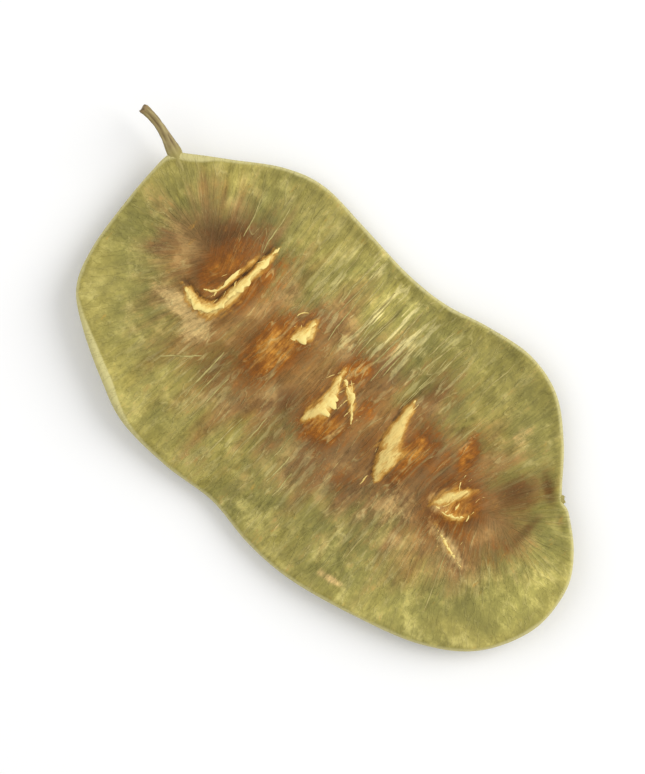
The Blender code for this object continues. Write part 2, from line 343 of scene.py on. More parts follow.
def rayFrom(u, half, turn=0.0):  # a ray's start on the seed line and its direction, for u from -1 to 1
    lineX = pod["seedLineHalf"] * math.sin(u * math.pi / 2)
    fan = math.copysign(abs(u) ** pod["fanPower"], u) * math.pi / 2 + turn
    start = np.array([lineX, pod["seedLineLow"] + pod["seedLineBow"] * lineX**2])
    return start, np.array([math.sin(fan), half * math.cos(fan)])


def reachOfRay(origin, direction):  # how far it is along a ray to the edge
    start, least = edge - origin, 1e-9  # in place of 0, where ray and edge are parallel
    along = np.roll(edge, -1, axis=0) - edge
    turn = direction[0] * along[:, 1] - direction[1] * along[:, 0]
    turn = np.where(np.abs(turn) < least, least, turn)
    reach = (start[:, 0] * along[:, 1] - start[:, 1] * along[:, 0]) / turn
    share = (start[:, 0] * direction[1] - start[:, 1] * direction[0]) / turn
    return reach[(reach > 0) & (share >= 0) & (share <= 1)].min()


def middleHeight(x, y):
    along, across = x / pod["halfLength"], y / pod["halfWidth"]
    outward = np.clip(along**2 + across**2, 0, pod["waveReach"])
    swing = np.sin(pod["wavesRound"] * np.arctan2(across, along) + pod["wavePhase"])
    wave = pod["waveRise"] * outward**2 * swing
    bow = pod["endRise"] * along**2 + pod["sideRise"] * across**2 + pod["twistRise"] * along * across
    return pod["restHeight"] + bow + wave


def seedNearness(x, y):  # 1 over a seed's middle, 0 away from the seeds
    near = np.zeros_like(x)
    for seedX, seedY, size in pod["seeds"]:
        offAlong = (x - seedX) / (pod["seedHalfBreadth"] * size)
        offAcross = (y - seedY) / (pod["seedHalfLength"] * size)
        near = np.maximum(near, size * np.exp(-((offAlong**2 + offAcross**2) ** pod["seedFlatness"])))
    return near


def foldRise(x, y):
    rise = np.zeros_like(x)
    for foldX, first, last, height in pod["folds"]:
        off = x - foldX * (1 + pod["foldLean"] * np.abs(y))
        stretch = (y - (first + last) / 2) / ((last - first) / 2)
        rise += height * np.exp(-((off / pod["foldWidth"]) ** 2) - stretch**4)
    return rise


def halfThickness(x, y, inward):
    radius = pod["rimRadius"]
    cord = np.sqrt(np.clip(radius**2 - (inward - radius) ** 2, 0, None))
    groove = pod["grooveDepth"] * np.exp(-(((inward - pod["grooveFromEdge"]) / pod["grooveWidth"]) ** 2))
    fade = np.clip((inward - radius) / pod["reliefFade"], 0, 1)
    relief = foldRise(x, y) + pod["seedRise"] * seedNearness(x, y)
    field = pod["fieldHalfThickness"] - groove + relief * fade
    return np.where(inward < radius, cord, np.maximum(cord, field))


# Torn crests over the seeds: route as (x, y), widths along it, side that it leans to, depth of the crack
# behind it, and the angles that its flake curls through
crests = {
    "routes": (
        (((-13.4, -1.0), (-12.1, -1.2), (-10.8, -0.9), (-10.6, 0.9), (-10.5, 2.9), (-10.3, 5.8)),
         (0.2, 0.75, 0.9, 0.65, 0.55, 0.5, 0.35, 0.1), 1, 0.3, 30, -12),
        (((-12.1, -0.4), (-11.2, 0.0), (-11.0, 2.1), (-10.6, 4.5)),
         (0.1, 0.25, 0.3, 0.25, 0.1), -1, 0.0, 50, 10),
        (((-5.3, 1.3), (-5.0, 2.4), (-4.8, 3.8)), (0.15, 0.8, 1.1, 0.5, 0.1), 1, 0.08, 25, -15),
        (((-0.8, -1.8), (-0.7, 0.1), (-1.0, 2.6)), (0.5, 1.3, 1.2, 0.7, 0.35, 0.1), 1, 0.08, 25, -15),
        (((-0.5, 1.7), (0.8, 1.1), (2.0, -0.2)), (0.3, 0.4, 0.35, 0.15), -1, 0.08, 30, -10),
        (((5.7, -1.6), (4.4, 0.6), (4.1, 4.6)), (0.5, 1.3, 1.6, 1.3, 0.75, 0.4, 0.1), 1, 0.2, 16, -12),
        (((10.0, -0.3), (10.4, 1.2), (11.6, 2.6)), (0.25, 0.7, 0.6, 0.2), 1, 0.08, 30, -15),
        (((12.7, 1.9), (12.6, 0.6), (11.6, -0.3), (10.3, -0.3)), (0.1, 0.25, 0.22, 0.15), 1, 0.0, 35, 0),
        (((11.2, -1.2), (12.8, -1.9), (14.8, -2.2)), (0.1, 0.24, 0.18, 0.1), -1, 0.0, 30, -5),
    ),
    "ridgeRise": 0.24, "crackOffset": 0.22, "crackWidth": 0.15,
    "humpOffset": 0.4, "humpBreadth": 0.55, "humpLeast": 0.15,  # shares of the width, and the least in mm
    "fullFrom": 0.4, "linePoints": 60, "margin": 2.5,
}


def widthsAlong(widths, count):
    return np.interp(np.linspace(0, len(widths) - 1, count), range(len(widths)), widths)


def crestField(x, y):  # rise of the skin under the crests, depth of the cracks, nearness of torn skin
    ridge, crack, torn = np.zeros_like(x), np.zeros_like(x), np.zeros_like(x)
    for route, widths, side, depth, *_ in crests["routes"]:
        line = smoothOpenCurve(route, crests["linePoints"])
        low, high = line.min(axis=0) - crests["margin"], line.max(axis=0) + crests["margin"]
        close = np.flatnonzero((x > low[0]) & (x < high[0]) & (y > low[1]) & (y < high[1]))
        gap = np.stack([x[close], y[close]], axis=-1)[:, None, :] - line
        away = np.linalg.norm(gap, axis=-1)
        nearest = away.argmin(axis=1)
        heading = np.gradient(line, axis=0)[nearest]
        beside = gap[np.arange(len(close)), nearest]
        hand = np.sign(heading[:, 1] * beside[:, 0] - heading[:, 0] * beside[:, 1])
        offset = side * hand * away.min(axis=1)
        width = widthsAlong(widths, len(line))[nearest]
        full = np.clip(width / crests["fullFrom"], 0, 1)
        breadth = crests["humpBreadth"] * width + crests["humpLeast"]
        hump = np.exp(-(((offset - crests["humpOffset"] * width) / breadth) ** 2))
        ridge[close] = np.maximum(ridge[close], crests["ridgeRise"] * np.sqrt(width) * hump)
        torn[close] = np.maximum(torn[close], full * hump)
        dent = np.exp(-(((offset + crests["crackOffset"]) / crests["crackWidth"]) ** 2))
        crack[close] = np.maximum(crack[close], depth * full * dent)
    return ridge, crack, torn


# Marks on the skin: x, y, half length along x, half length along y, turn in degrees, strength
marks = {
    "orange": (
        (-12.2, 1.8, 1.5, 3.0, -8, 0.85), (-9.6, 2.4, 0.8, 3.3, -4, 0.85), (-5.6, 0.1, 1.8, 3.2, -12, 1.1),
        (0.6, -1.3, 1.7, 2.0, 0, 1.05), (-0.2, 2.8, 1.1, 1.8, -20, 0.9), (2.2, 1.4, 0.8, 1.6, 0, 0.6),
        (6.6, 1.5, 1.3, 2.7, 4, 1.0), (4.6, -3.4, 1.4, 1.7, 0, 0.4), (11.3, 0.8, 2.2, 2.4, 0, 1.05),
        (9.7, 3.9, 0.8, 1.8, 15, 0.95), (13.4, -0.4, 1.7, 1.3, 0, 0.55), (15.6, 0.4, 1.4, 2.5, 0, 0.35),
        (-8.6, 3.0, 0.5, 2.0, 0, 0.4), (3.6, -0.6, 0.7, 1.4, 0, 0.5), (8.7, 2.2, 0.8, 1.8, 0, 0.45),
    ),
    # Dark brown patches, and painted shade: the narrow marks between the seeds at x -7.9, -2.9, 3.1 and 9.2
    # shade the valleys there, and those round the nick, x 14.2 to 17.6, shade its crease
    "dark": (
        (-13.3, 3.9, 3.3, 1.7, 43, 0.95), (-12.9, 0.4, 1.0, 1.8, 0, 0.6), (-10.9, 5.9, 0.9, 1.4, -20, 0.55),
        (-7.9, -0.6, 0.8, 3.4, 0, 0.3), (-2.4, -2.1, 0.9, 1.5, 20, 0.75), (7.9, 1.6, 0.6, 1.9, 10, 0.85),
        (6.9, -1.2, 1.2, 0.6, -20, 0.7), (4.4, 5.9, 2.5, 2.4, 0, 0.65), (14.2, 4.1, 2.6, 2.2, 0, 0.78),
        (-8.3, -3.7, 2.0, 2.4, 0, 0.7), (-1.5, -5.0, 2.2, 2.0, 0, 0.5), (3.5, -4.6, 2.2, 2.0, 0, 0.42),
        (16.2, 3.0, 0.5, 2.1, 0, 0.75), (9.2, 1.9, 0.7, 2.4, 10, 0.5), (-2.9, 2.4, 0.6, 2.4, 0, 0.25),
        (3.1, 1.2, 0.6, 4.2, 0, 0.34), (15.4, 6.1, 1.7, 0.6, -38, 0.9), (17.6, 5.0, 0.8, 0.5, -30, 0.5),
        (-3.0, -9.2, 3.5, 1.5, 0, 0.33),
    ),
    "pale": (
        (-12.5, -2.3, 1.9, 0.75, 8, 1.25), (-10.8, -2.7, 1.2, 1.2, 0, 0.95), (8.4, -2.2, 1.6, 1.7, 0, 0.35),
        (8.6, -9.1, 1.1, 0.35, 10, 0.9), (13.0, -1.7, 1.9, 0.5, -10, 0.8), (11.3, 7.6, 1.2, 1.2, 0, 0.3),
        (10.3, 0.3, 0.9, 1.4, 0, 0.6),
    ),
    "light": (
        (-2.0, 7.6, 3.2, 2.6, 0, 1.1), (19.6, 0.0, 2.2, 4.8, 0, 1.3), (13.0, -7.4, 4.5, 1.8, 25, 0.75),
        (-12.0, -9.0, 4.0, 1.4, -25, 0.45), (-7.9, 2.4, 1.4, 2.2, 0, 0.55), (12.3, -3.6, 2.4, 1.6, 0, 0.8),
        (-15.0, 6.6, 2.4, 2.0, 0, 0.3), (-2.6, 0.4, 1.0, 1.8, 0, 0.45), (3.0, 1.8, 0.8, 1.6, 0, 0.25),
    ),
    "lip": ((-13.0, -9.8, 3.9, 0.9, -25.5, 1.0), (-19.0, 5.6, 1.6, 0.8, 40, 0.5)),
    "lined": (
        (-1.0, 7.0, 5.2, 3.2, 0, 1.0), (6.5, 6.8, 3.0, 3.0, 0, 0.4), (-1.0, -6.5, 5.0, 3.0, 0, 0.35),
        (-9.0, -5.5, 4.0, 2.5, 0, 0.35), (9.0, -5.5, 3.0, 2.5, 0, 0.3),
    ),
}


def softSpots(x, y, spots):
    total = np.zeros_like(x)
    for spotX, spotY, halfAlong, halfAcross, turn, strength in spots:
        c, s = math.cos(math.radians(turn)), math.sin(math.radians(turn))
        along = ((x - spotX) * c + (y - spotY) * s) / halfAlong
        across = ((y - spotY) * c - (x - spotX) * s) / halfAcross
        total = np.maximum(total, strength * np.exp(-(along**2) - across**2))
    return total


# Brown middle band, in millimetres
band = {"halfLength": 18.3, "halfWidth": 5.6, "belowMiddle": 0.4, "bow": 0.006}


def bandDepth(x, y):  # how far inside the band a place is, in millimetres
    share = np.abs(x / band["halfLength"])
    toEnd = band["halfLength"] - np.abs(x)
    half = np.where(toEnd > 0, band["halfWidth"] * (1 - share**4), toEnd)
    return half - np.abs(y + band["belowMiddle"] - band["bow"] * x**2)


# Skin of the pod
skin = {
    "columns": 360, "innerRows": 52, "rimRows": (1.5, 1.2, 0.92, 0.68, 0.48, 0.32, 0.19, 0.09, 0.025, 0.0),
    "fanStretch": 0.13, "widestAt": 0.6, "crowding": 1.3,
    "halvesApart": 1.3, "halvesMeet": 5.0, "facesApart": 0.9, "facesMeet": 4.0,
    "relief": {
        "Crumple rise": 0.20 * mm, "Streak rise": 0.16 * mm, "Vein rise": 0.05 * mm, "Pucker rise": 0.14 * mm,
    },
    "fanWarp": (0.4, 0.6), "veinScale": 0.9,
    # Noises: scale for each mm, detail, roughness and, for the streaks, how far they are drawn out
    "forms": {"crumple": (0.33, 2.0), "streak": (0.9, 4.0, 0.6), "pucker": (1.3, 3.0, 0.6)},
    "blots": {
        "broad": (0.16, 3.0), "blotches": (0.55, 5.0, 0.62), "flecks": (1.1, 5.0, 0.7),
        "grain": (5.0, 4.0, 0.7),
    },
    "lines": {
        "streaks": (1.1, 5.0, 0.62), "fineStreaks": (4.2, 5.0, 0.7), "stripes": (2.4, 3.0, 0.5, 0.16),
        "tongues": (0.5, 4.0, 0.6),
    },
    "greens": (tint(150, 138, 64), tint(184, 171, 94), tint(138, 132, 68), tint(198, 186, 110)),
    "browns": (tint(138, 98, 46), tint(172, 132, 74), tint(142, 108, 64), tint(178, 144, 88)),
    "warm": tint(160, 104, 46), "dark": tint(102, 64, 24),
    "oranges": (tint(136, 80, 22), tint(166, 102, 26), tint(202, 140, 52)),
    "pale": tint(220, 186, 120), "torn": (tint(204, 148, 60), tint(240, 210, 126)),
    # crack: a near-black painted shade colour for the cracks beside the crests
    "rim": tint(214, 204, 142), "crack": tint(60, 36, 14),
    "vein": tint(206, 192, 126), "stripe": tint(218, 204, 138),
}


def skinRelief(material):  # crumples, streaks and veins raised from the smooth skin
    tree, given, last = newShape("skinRelief", skin["relief"])
    inMm = scaled(tree, place(tree), 1 / mm)
    fan = warped(tree, read(tree, "fan", "FLOAT_VECTOR"), *skin["fanWarp"])
    calm, forms = read(tree, "calm"), skin["forms"]
    crumple = offMiddle(tree, noise(tree, inMm, *forms["crumple"]))
    streak = calc(tree, "MULTIPLY", offMiddle(tree, noise(tree, fan, *forms["streak"])), calm)
    vein = calc(tree, "MULTIPLY", threads(tree, fan, skin["veinScale"], 0.03), calm)
    pucker = offMiddle(tree, noise(tree, inMm, *forms["pucker"]))
    pucker = calc(tree, "MULTIPLY", pucker, read(tree, "halo"))
    rise = 0.0
    for part, label in zip((crumple, streak, vein, pucker), skin["relief"]):
        rise = calc(tree, "MULTIPLY_ADD", part, given[label], rise)
    rise = calc(tree, "MULTIPLY", rise, span(tree, read(tree, "inward"), 0.1, 1.6, 0.12, 1.0))
    offset = scaled(tree, add(tree, "GeometryNodeInputNormal").outputs[0], rise)
    values = {0: moved(tree, place(tree), offset), 1: (-1, -1, 0)}  # nothing goes below the floor
    aim = add(tree, "ShaderNodeVectorMath", values, operation="MAXIMUM").outputs[0]
    endShape(tree, last, placed(tree, given[0], aim), material)
    return tree


def skinMaterial():
    material, tree, shader = newMaterial("podSkin")
    inMm = objectInMm(tree)
    fan, calm = warped(tree, mark(tree, "fan", "Vector"), *skin["fanWarp"]), mark(tree, "calm")

    def across(scale, detail, roughness, squeeze=1.0):  # streaks that fade where the rays crowd or fan out
        lines = noise(tree, drawnOut(tree, fan, squeeze), scale, detail, roughness)
        return calc(tree, "MULTIPLY_ADD", offMiddle(tree, lines), calm, 0.5)

    streaks, fineStreaks, stripes, tongues = (across(*rule) for rule in skin["lines"].values())
    broad, blotches, flecks, grain = (noise(tree, inMm, *rule) for rule in skin["blots"].values())
    veins = calc(tree, "MULTIPLY", threads(tree, fan, skin["veinScale"], 0.018), calm)
    fibres = threads(tree, warped(tree, fan, 1.6, 0.3), 2.6, 0.03, 2.5)
    lined = calc(tree, "MULTIPLY_ADD", mark(tree, "lined"), 0.88, 0.12)

    # Green field and brown middle, with a ragged border
    dullGreen, lightGreen, coolGreen, yellowGreen = skin["greens"]
    green = layered(tree, dullGreen, (
        (streaks, 0.22, 0.78, 1.0, lightGreen), (broad, 0.42, 0.66, 0.75, coolGreen),
        (blotches, 0.5, 0.75, 0.7, yellowGreen),
    ))
    darkBrown, brown, mauve, tan = skin["browns"]
    middle = layered(tree, darkBrown, (
        (streaks, 0.3, 0.68, 1.0, brown), (broad, 0.42, 0.6, 0.8, mauve), (blotches, 0.5, 0.72, 0.8, tan),
    ))
    ragged = calc(tree, "MULTIPLY_ADD", offMiddle(tree, tongues), 17.0, mark(tree, "band"))
    ragged = calc(tree, "MULTIPLY_ADD", offMiddle(tree, blotches), 5.0, ragged)

    # Patches round the seeds, frayed by the streaks
    spread = 0.0
    for part, share in ((streaks, 1.1), (fineStreaks, 0.8), (flecks, 0.9)):
        spread = calc(tree, "MULTIPLY_ADD", offMiddle(tree, part), share, spread)
    names = ("halo", "dark", "orange", "pale")
    warm, dark, orange, pale = (calc(tree, "ADD", mark(tree, name), spread) for name in names)
    deepOrange, midOrange, lightOrange = skin["oranges"]
    colour = layered(tree, green, (
        (ragged, -3.6, 3.2, 1.0, middle),
        # Dark brown patches together with painted shade in the valleys between the seeds and in the crease at
        # the nick
        (warm, 0.05, 0.9, 0.6, skin["warm"]), (dark, 0.1, 1.0, 0.9, skin["dark"]),
        (orange, 0.1, 0.75, 1.0, deepOrange), (orange, 0.45, 1.05, 1.0, midOrange),
        (orange, 0.8, 1.3, 1.0, lightOrange), (pale, 0.15, 0.9, 0.95, skin["pale"]),
    ))

    # Fine pale lines, each only where its guide is high
    for part, guide, low, high, share, tone in (
        (veins, blotches, 0.35, 0.65, 0.4, skin["vein"]), (fibres, streaks, 0.4, 0.65, 0.25, skin["vein"]),
        (lined, stripes, 0.55, 0.64, 0.85, skin["stripe"]),
    ):
        lit = calc(tree, "MULTIPLY", part, span(tree, guide, low, high, 0.0, share))
        colour = blend(tree, lit, colour, tone)
    unlit = calc(tree, "MULTIPLY", span(tree, stripes, 0.32, 0.44, 1.0, 0.0), lined)

    # Lighter and darker places, painted light and shade over the folds, cracks painted dark as shade, torn
    # skin and rim
    shade = span(tree, fineStreaks, 0.25, 0.75, 0.77, 1.19)
    for part, change in ((grain, 0.055), (blotches, 0.14), (flecks, 0.08)):
        shade = calc(tree, "MULTIPLY", shade, span(tree, part, 0.3, 0.7, 1 - change, 1 + change))
    light, fold = mark(tree, "light"), mark(tree, "fold")
    # The folds' rise paints their ridges lighter and their valleys darker: painted light and shade standing
    # in for the relief
    for part, share, rest in ((unlit, -0.35, 1.0), (light, 0.45, 1.0), (fold, 1.6, 0.93)):
        shade = calc(tree, "MULTIPLY", shade, calc(tree, "MULTIPLY_ADD", part, share, rest))
    colour = shaded(tree, colour, shade)
    # The cracks on the stalk side of each crest are painted near black: painted shade on the crest's shaded
    # side
    colour = blend(tree, calc(tree, "MULTIPLY", mark(tree, "crack"), 3.0, clamp=True), colour, skin["crack"])
    frays = offMiddle(tree, noise(tree, drawnOut(tree, inMm, 0.35), 2.2, 5.0, 0.6))
    torn = calc(tree, "MULTIPLY_ADD", frays, 1.8, mark(tree, "torn"))
    goldTorn, paleTorn = skin["torn"]
    colour = layered(tree, colour, ((torn, 0.2, 0.75, 1.0, goldTorn), (torn, 0.55, 1.0, 1.0, paleTorn)))
    edgeNoise = calc(tree, "MULTIPLY_ADD", offMiddle(tree, blotches), 0.4, mark(tree, "inward"))
    edgeNoise = calc(tree, "MULTIPLY_ADD", mark(tree, "lip"), -0.7, edgeNoise)
    colour = blend(tree, span(tree, edgeNoise, 0.08, 0.32, 0.78, 0.0), colour, skin["rim"])

    height = calc(tree, "MULTIPLY_ADD", streaks, 0.8, fineStreaks)
    for part, share in ((fibres, 0.3), (veins, 0.4), (stripes, 0.8), (grain, 0.35)):
        height = calc(tree, "MULTIPLY_ADD", part, share, height)
    endMaterial(tree, shader, colour, height, 0.7, 0.14 * mm, span(tree, fineStreaks, 0.3, 0.7, 0.5, 0.72))
    fill(tree, shader, {"Specular IOR Level": 0.25})
    return material


def skinGrid():  # by column, half and row: place, run along the ray, way round the pod, apart and calm
    columns, halves = skin["columns"], (1, -1)
    rays = [[rayFrom(u, half) for half in halves] for u in np.linspace(-1, 1, columns + 1)]
    reach = np.array([[reachOfRay(*ray) for ray in pair] for pair in rays])[..., None]
    start, direction = np.array(rays).transpose(2, 0, 1, 3)
    share = np.arange(skin["innerRows"]) / skin["innerRows"]
    out = np.concatenate([(reach - skin["rimRows"][0]) * share, reach - np.array(skin["rimRows"])], axis=2)
    spots = start[:, :, None] + direction[:, :, None] * out[..., None]
    steps = np.linalg.norm(np.diff(start + direction * reach * skin["widestAt"], axis=0), axis=2).mean(axis=1)
    roundPod = np.concatenate([[0], np.cumsum(steps)])
    spacing = np.linalg.norm(np.gradient(spots, axis=0), axis=3) / np.gradient(roundPod)[:, None, None]
    # Apart keeps the streaks of the two halves from mirroring; calm fades them where rays crowd or fan out
    apart = direction[..., 1:] * (1 - np.exp(-((out / skin["halvesMeet"]) ** 2)))
    calm = np.clip(skin["crowding"] * spacing**2, 0, 1) / np.maximum(spacing, 1) ** 2
    return spots, out, roundPod, apart, calm


def buildSkin():
    rows, columns = skin["innerRows"] + len(skin["rimRows"]) - 1, skin["columns"]
    index, faces = {}, []

    def vertex(side, column, half, row):  # halves share the seed line, and both faces share the rim
        column = min(max(column, 1), columns - 1) if row == 0 else column  # no flap past the line's ends
        half = 0 if row == 0 or column in (0, columns) else half
        side = 0 if row == rows else side
        return index.setdefault((side, column, half, row), len(index))

    for column in range(columns):
        for half in (1, -1):
            for row in range(rows):
                for side in (1, -1):
                    corners = [
                        vertex(side, column, half, row), vertex(side, column + 1, half, row),
                        vertex(side, column + 1, half, row + 1), vertex(side, column, half, row + 1),
                    ]
                    faces.append(list(dict.fromkeys(corners if side * half > 0 else corners[::-1])))
    grid, out, roundPod, apart, calm = skinGrid()
    side, column, half, row = np.array(list(index)).T
    spot = (column, (half < 0) * 1, row)
    x, y = grid[spot].T
    inward = distanceFromEdge(x, y)
    ridge, crack, torn = crestField(x, y)
    top = side > 0
    z = np.maximum(middleHeight(x, y) + side * halfThickness(x, y, inward), 0)
    z += np.where(top, ridge - crack, 0)
    faceShare = side * np.clip(inward / skin["facesMeet"], 0, 1)
    layer = apart[spot] * skin["halvesApart"] + faceShare * skin["facesApart"]
    made = newPiece(
        "podSkin", toFrame(np.stack([x, y, z], axis=1)), faces,
        fan=np.stack([roundPod[column], skin["fanStretch"] * out[spot], layer], axis=1), calm=calm[spot],
        inward=inward, halo=seedNearness(x, y), fold=foldRise(x, y), band=bandDepth(x, y), crack=crack * top,
        torn=torn * top, **{name: softSpots(x, y, spots) for name, spots in marks.items()},
    )
    shapeBy(made, skinRelief(skinMaterial()), skin["relief"])
    return made


handIn(buildSkin())


# Torn flakes of pale skin that stand along the crests, with splinters strewn beside them
flakes = {
    "splinters": {
        "perCrest": 6, "spread": 0.55, "lengths": (0.5, 1.8), "widths": (0.06, 0.18), "lean": 0.4, "seed": 11,
        "bend": 0.2, "taper": (0.3, 1.0, 0.2), "curl": (35, -20), "linePoints": 30,
    },
    "shape": {
        "Thickness": 0.04 * mm, "Tear": 0.75, "Roughness": 0.08 * mm,
        "Step": 0.05 * mm, "Root depth": 0.04 * mm,
    },
    "tearNoise": (1.0, 4.0, 0.5), "tearFrom": 0.64, "tearFull": 0.4, "crinkleScale": 2.2,
    "untornWidth": 1.2, "rootThickness": 1.1,  # shares of the given width and thickness
    "points": 60, "sideSteps": 16,
    "tip": tint(248, 224, 136), "root": tint(188, 124, 44), "fibre": tint(230, 190, 94),
}


def flakeMaterial():
    material, tree, shader = newMaterial("crestFlakes")
    grain = noise(tree, drawnOut(tree, objectInMm(tree), 0.3), 4.0, 5.0, 0.65)
    out = calc(tree, "MULTIPLY_ADD", offMiddle(tree, grain), 2.0, mark(tree, "out"))
    steps = ((out, -0.35, 0.2, 1.0, flakes["fibre"]), (out, -0.05, 0.6, 1.0, flakes["tip"]))
    endMaterial(tree, shader, layered(tree, flakes["root"], steps), grain, 0.6, 0.08 * mm, 0.6)
    return material


def tornFlakes(material):  # sweeps a thin curled blade along each route and tears its free edge
    tree, given, last = newShape("tornFlakes", flakes["shape"])
    paths = evenPath(tree, given)
    depth = upward(tree, calc(tree, "MULTIPLY", given["Root depth"], -1.0))
    paths = placed(tree, paths, moved(tree, onSkin(tree, 1.0)[0], depth))
    paths = keep(tree, paths, "root", place(tree), "FLOAT_VECTOR")
    flat = add(tree, "ShaderNodeSeparateXYZ", {0: place(tree)})
    outward = calc(tree, "MULTIPLY_ADD", flat.outputs[0], 0.5, 0.5)
    profile = keep(tree, ring(tree, flakes["sideSteps"]), "out", outward)
    profile = keep(tree, profile, "face", flat.outputs[1])
    blade = sweep(tree, paths, profile, 0.5 * mm)  # of any size, because each point is placed below

    out, start = read(tree, "out"), read(tree, "curlStart")
    turn = calc(tree, "SUBTRACT", read(tree, "curlEnd"), start)
    angle = calc(tree, "MULTIPLY_ADD", turn, out, start)
    sine, cosine = calc(tree, "SINE", angle), calc(tree, "COSINE", angle)
    over = calc(tree, "DIVIDE", calc(tree, "SUBTRACT", sine, calc(tree, "SINE", start)), turn)
    rise = calc(tree, "DIVIDE", calc(tree, "SUBTRACT", calc(tree, "COSINE", start), cosine), turn)
    root = read(tree, "root", "FLOAT_VECTOR")
    torn = noise(tree, scaled(tree, root, 1 / mm), *flakes["tearNoise"])
    torn = span(tree, torn, flakes["tearFrom"], flakes["tearFull"])
    torn = calc(tree, "MULTIPLY", calc(tree, "MULTIPLY", torn, out), given["Tear"])
    width = calc(tree, "MULTIPLY", read(tree, "width"), calc(tree, "SUBTRACT", flakes["untornWidth"], torn))
    thick = calc(tree, "MULTIPLY", read(tree, "face"), read(tree, "hand"))  # faces outward on either hand
    thick = calc(tree, "MULTIPLY", thick, given["Thickness"])
    thick = calc(tree, "MULTIPLY", thick, calc(tree, "SUBTRACT", flakes["rootThickness"], out))
    sideways = calc(tree, "MULTIPLY", over, width)
    sideways = calc(tree, "SUBTRACT", sideways, calc(tree, "MULTIPLY", thick, sine))
    height = calc(tree, "MULTIPLY_ADD", rise, width, calc(tree, "MULTIPLY", thick, cosine))
    spot = moved(tree, root, scaled(tree, read(tree, "beside", "FLOAT_VECTOR"), sideways))
    blade = placed(tree, blade, moved(tree, spot, upward(tree, height)))
    crinkle = push(tree, scaled(tree, place(tree), 1 / mm), flakes["crinkleScale"])
    endShape(tree, last, shifted(tree, blade, scaled(tree, crinkle, given["Roughness"])), material)
    return tree


def splinterRoutes():  # short threads of torn skin strewn beside the crests, nearly across the pod
    rule = flakes["splinters"]
    draw = np.random.default_rng(rule["seed"])
    routes = []
    for route, *_ in crests["routes"]:
        line = smoothOpenCurve(route, rule["linePoints"])
        for _ in range(rule["perCrest"]):
            middle = line[draw.integers(len(line))] + draw.normal(0, rule["spread"], 2)
            turn = math.pi / 2 + draw.normal(0, rule["lean"])
            ahead = np.array([math.cos(turn), math.sin(turn)]) * draw.uniform(*rule["lengths"]) / 2
            bend = np.array([-ahead[1], ahead[0]]) * draw.normal(0, rule["bend"])
            width = draw.uniform(*rule["widths"])
            widths = [share * width for share in rule["taper"]]
            ends = (tuple(middle - ahead), tuple(middle + bend), tuple(middle + ahead))
            routes.append((ends, widths, draw.choice((-1, 1)), 0.0, *rule["curl"]))
    return routes


def buildFlakes():
    lines, facts = [], {"width": [], "beside": [], "hand": [], "curlStart": [], "curlEnd": []}
    for route, widths, side, _, start, end in list(crests["routes"]) + splinterRoutes():
        line = smoothOpenCurve(route, flakes["points"])
        heading = np.gradient(line, axis=0)
        heading /= np.linalg.norm(heading, axis=1, keepdims=True)
        level = np.zeros(len(line))
        lines.append(np.stack([*line.T, level], axis=1))
        facts["width"].append(widthsAlong(widths, len(line)) * mm)
        facts["beside"].append(np.stack([heading[:, 1], -heading[:, 0], level], axis=1) * side)
        facts["hand"].append(level - side)
        facts["curlStart"].append(level + math.radians(start))
        facts["curlEnd"].append(level + math.radians(end))
    points, edges = linked(lines)
    facts = {name: np.concatenate(values) for name, values in facts.items()}
    made = newPiece("crestFlakes", toFrame(points), edges=edges, **facts)
    shapeBy(made, tornFlakes(flakeMaterial()), flakes["shape"])
    return made


handIn(buildFlakes())


# Raised pale fibres that lie in the skin, most of them across the pod
fibres = {
    "plainest": (  # on the upper face
        ((-11.1, -5.9), (-10.1, -5.0), (-9.0, -3.9)), ((0.2, 4.0), (0.4, 6.5), (0.3, 9.2)),
        ((-4.4, 5.8), (-4.6, 7.8), (-4.5, 9.7)), ((0.4, -4.8), (0.5, -6.0), (0.4, -7.2)),
        ((-2.2, 4.4), (-2.0, 6.4), (-2.1, 8.8)), ((2.9, 4.9), (3.1, 6.5), (3.6, 8.9)),
    ),
    "groups": (  # first and last place along the seed line from -1 to 1, half, face, how many
        (-0.32, 0.2, 1, 1, 16), (0.15, 0.5, 1, 1, 4), (-0.35, 0.3, -1, 1, 5), (-0.6, -0.3, -1, 1, 3),
        (0.3, 0.6, -1, 1, 2), (-0.6, -0.3, 1, 1, 2), (-0.6, 0.6, 1, -1, 16), (-0.6, 0.6, -1, -1, 16),
    ),
    "lengths": (1.0, 5.0), "radii": (0.03, 0.07), "fromSeedLine": 2.8, "fromEdge": 0.9, "turn": 0.06,
    "leastPlay": 0.1, "level": 1.5, "seed": 4,
    "shape": {"Step": 0.08 * mm, "Flatness": 0.4, "Wander": 0.45 * mm, "Sink": 0.15},
    "points": 24, "sideSteps": 6, "colours": (tint(186, 172, 104), tint(154, 138, 74)),
}


def fibreMaterial():
    material, tree, shader = newMaterial("paleFibre")
    patches = noise(tree, objectInMm(tree), 1.2, 4.0, 0.65)
    colour = blend(tree, span(tree, patches, 0.4, 0.62), *fibres["colours"])
    endMaterial(tree, shader, colour, noise(tree, objectInMm(tree), 8.0, 3.0), 0.4, 0.03 * mm, 0.6)
    return material


